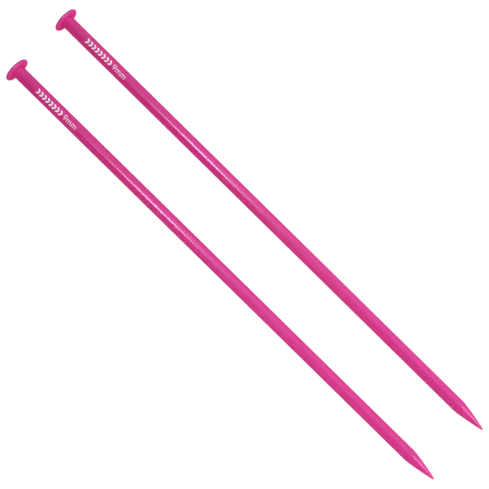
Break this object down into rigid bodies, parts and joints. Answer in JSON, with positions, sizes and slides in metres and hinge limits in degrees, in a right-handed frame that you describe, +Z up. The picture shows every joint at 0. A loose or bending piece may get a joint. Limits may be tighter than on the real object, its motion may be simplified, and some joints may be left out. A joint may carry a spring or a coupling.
{
  "type": "pair of straight knitting needles",
  "caption": "Straight single-pointed plastic knitting needles: hollow shafts with tapered points, round pressed-in heads and a white printed stitch and size mark.",
  "frame": {"origin": "centre of the bottom of the pair's bounding box, on the surface that the needles lie on", "axes": "+X along the needles from the heads to the points, +Y from the right needle to the left needle, +Z up"},
  "size_m": [0.395, 0.0654, 0.0185],
  "materials": {
    "needle_plastic": "glossy magenta moulded plastic",
    "white_ink": "white pad-printed ink"
  },
  "bodies": {
    "left_needle": {"left_needle_shaft": "needle_plastic", "left_needle_head": "needle_plastic", "left_needle_stitch_mark": "white_ink", "left_needle_size_mark": "white_ink"},
    "right_needle": {"right_needle_shaft": "needle_plastic", "right_needle_head": "needle_plastic", "right_needle_stitch_mark": "white_ink", "right_needle_size_mark": "white_ink"}
  },
  "joints": [
    {"name": "right_needle_slide", "type": "slide", "parent": "left_needle", "child": "right_needle", "axis": [0, -1, 0], "range_m": [-0.028, 0.1]}
  ]
}
